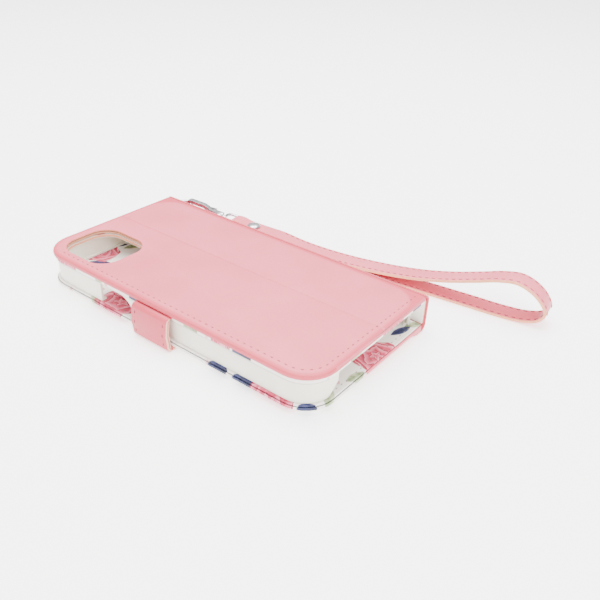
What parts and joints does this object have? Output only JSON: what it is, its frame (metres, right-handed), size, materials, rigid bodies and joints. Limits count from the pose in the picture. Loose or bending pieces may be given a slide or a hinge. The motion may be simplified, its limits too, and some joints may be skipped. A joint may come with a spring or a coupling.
{
  "type": "phone case",
  "caption": "Folio phone case: soft tray in a leather cover with clasp, camera opening and card pockets, and a leather wrist strap on a swivel snap hook.",
  "frame": {"origin": "middle of the tray face that the phone's back lies on", "axes": "+X from the camera end to the charging end, +Y from the clasp to the spine, +Z out of the case's back"},
  "size_m": [0.201, 0.1294, 0.0198],
  "materials": {
    "pink_leather": "smooth pink imitation leather",
    "floral_leather": "white imitation leather printed with roses and leaves",
    "grey_board": "plain stiffener board",
    "white_tray": "soft off-white moulded plastic",
    "plated_steel": "bright nickel plate"
  },
  "bodies": {
    "case_back": {"back_leather": "pink_leather", "back_board_fixed": "grey_board", "back_board_folding": "grey_board", "back_lining": "floral_leather", "phone_tray": "white_tray", "clasp_anchor": "pink_leather"},
    "spine": {"spine_leather": "pink_leather", "spine_board": "grey_board", "spine_lining": "floral_leather", "strap_loop": "pink_leather"},
    "front_cover": {"cover_leather": "pink_leather", "cover_print": "floral_leather", "cover_board": "grey_board", "cover_lining": "floral_leather", "clasp_keeper": "plated_steel", "note_pocket": "floral_leather", "card_pocket": "floral_leather"},
    "clasp_side": {"clasp_side_outer": "pink_leather", "clasp_side_inner": "pink_leather"},
    "clasp_tip": {"clasp_tip_outer": "pink_leather", "clasp_tip_inner": "pink_leather", "clasp_magnet": "plated_steel"},
    "ring": {"strap_ring": "plated_steel"},
    "hook": {"hook_body": "plated_steel", "gate_pin": "plated_steel"},
    "gate": {"hook_gate": "plated_steel"},
    "eye": {"swivel_eye": "plated_steel"},
    "strap": {"wrist_strap": "pink_leather", "rivet_cap": "plated_steel", "rivet_post": "plated_steel"}
  },
  "joints": [
    {"name": "spine_fold", "type": "hinge", "parent": "case_back", "child": "spine", "pos_m": [0, 0.03855, 0.0044], "axis": [1, 0, 0], "range_deg": [0, 90], "deforming": ["clasp_tip_outer", "clasp_tip_inner", "clasp_magnet"]},
    {"name": "cover_fold", "type": "hinge", "parent": "spine", "child": "front_cover", "pos_m": [0, 0.03855, -0.0138], "axis": [1, 0, 0], "range_deg": [0, 90]},
    {"name": "clasp_fold", "type": "hinge", "parent": "case_back", "child": "clasp_side", "pos_m": [-0.0026, -0.04105, 0.0022], "axis": [1, 0, 0], "range_deg": [-90, 0]},
    {"name": "clasp_tip_fold", "type": "hinge", "parent": "clasp_side", "child": "clasp_tip", "pos_m": [-0.0026, -0.04105, -0.0138], "axis": [1, 0, 0], "range_deg": [-90, 0]},
    {"name": "ring_swing", "type": "hinge", "parent": "spine", "child": "ring", "pos_m": [-0.077, 0.04445, -0.0028], "axis": [1, 0, 0], "range_deg": [-45, 75]},
    {"name": "hook_swing", "type": "hinge", "parent": "ring", "child": "hook", "pos_m": [-0.077, 0.04845, -0.0028], "axis": [0, 0, 1], "range_deg": [-8, 100]},
    {"name": "gate_pivot", "type": "hinge", "parent": "hook", "child": "gate", "pos_m": [-0.06324, 0.05373, -0.00709], "axis": [-0.3584, 0.9336, 0], "range_deg": [0, 15], "stiffness_Nm_per_rad": 0.002, "springref_deg": -11.46},
    {"name": "eye_swivel", "type": "hinge", "parent": "hook", "child": "eye", "pos_m": [-0.05609, 0.05647, -0.00667], "axis": [-0.9132, -0.3505, 0.2079], "continuous": true},
    {"name": "strap_swing", "type": "hinge", "parent": "eye", "child": "strap", "pos_m": [-0.04824, 0.05949, -0.00846], "axis": [-0.3584, 0.9336, 0], "range_deg": [-90, 90]}
  ],
  "couplings": [
    {"joint": "cover_fold", "follows": "spine_fold", "ratio": 1}
  ]
}
